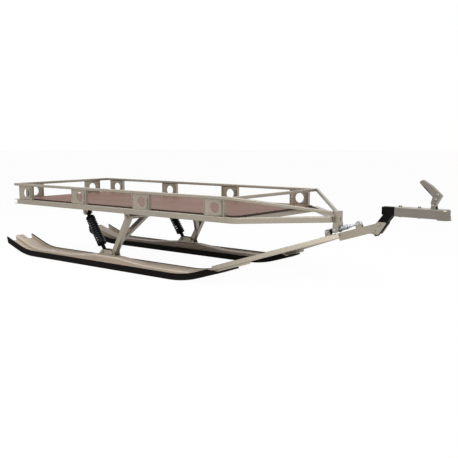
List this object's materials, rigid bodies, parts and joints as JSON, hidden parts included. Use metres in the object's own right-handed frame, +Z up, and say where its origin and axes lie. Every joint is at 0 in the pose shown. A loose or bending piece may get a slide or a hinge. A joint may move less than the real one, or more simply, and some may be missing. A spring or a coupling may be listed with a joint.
{
  "type": "snowmobile trailer",
  "caption": "Open cargo sled with a low railed bed, coil-over sprung skis, a sloping V drawbar and a ball coupling, towed behind a snowmobile.",
  "frame": {"origin": "on the ground under the middle of the whole trailer, from the ski tails to the coupling's rim", "axes": "+X forward to the coupling, +Y to the left, +Z up"},
  "size_m": [2.79, 0.888, 0.5476],
  "materials": {
    "zinc_steel": "satin",
    "plywood": "satin",
    "ski_plastic": "matte",
    "black_paint": "gloss",
    "bright_zinc": "gloss",
    "rubber": "matte"
  },
  "bodies": {
    "trailer": {"apex_gusset": "zinc_steel", "arm_cross_member": "zinc_steel", "arm_hanger_left": "zinc_steel", "arm_hanger_right": "zinc_steel", "coupling": "bright_zinc", "coupling_bolts": "bright_zinc", "damper_bolts": "bright_zinc", "damper_buffer": "rubber", "damper_link": "bright_zinc", "damper_slider": "bright_zinc", "damper_spring": "bright_zinc", "damper_tabs_front": "bright_zinc", "damper_tabs_rear": "bright_zinc", "drawbar_leg_left": "zinc_steel", "drawbar_leg_right": "zinc_steel", "floor_panel": "plywood", "front_cross_member": "zinc_steel", "handle_ears": "bright_zinc", "headstock": "zinc_steel", "hitch_bolts": "bright_zinc", "hitch_plates": "zinc_steel", "main_bar": "zinc_steel", "neck": "black_paint", "nose_lugs": "zinc_steel", "nose_rail_left": "zinc_steel", "nose_rail_right": "zinc_steel", "posts_left": "zinc_steel", "posts_rear": "zinc_steel", "posts_right": "zinc_steel", "rear_channel": "zinc_steel", "saddle_left": "zinc_steel", "saddle_right": "zinc_steel", "shock_body_left": "black_paint", "shock_body_right": "black_paint", "shock_cross_member": "zinc_steel", "shock_hanger_left": "zinc_steel", "shock_hanger_right": "zinc_steel", "shock_rod_left": "black_paint", "shock_rod_right": "black_paint", "shock_spring_left": "black_paint", "shock_spring_right": "black_paint", "side_rail_left": "zinc_steel", "side_rail_right": "zinc_steel", "ski_lining_left": "zinc_steel", "ski_lining_right": "zinc_steel", "ski_shoe_left": "ski_plastic", "ski_shoe_right": "ski_plastic", "suspension_pins_left": "black_paint", "suspension_pins_right": "black_paint", "swing_arm_left": "zinc_steel", "swing_arm_right": "zinc_steel", "top_rail": "zinc_steel", "top_rail_front": "zinc_steel", "tow_shoe_left": "zinc_steel", "tow_shoe_right": "zinc_steel"},
    "handle": {"coupling_handle": "bright_zinc"}
  },
  "joints": [
    {"name": "handle_close", "type": "hinge", "parent": "trailer", "child": "handle", "pos_m": [1.31398, 0, 0.43159], "axis": [0, -1, 0], "range_deg": [0, 50]}
  ]
}
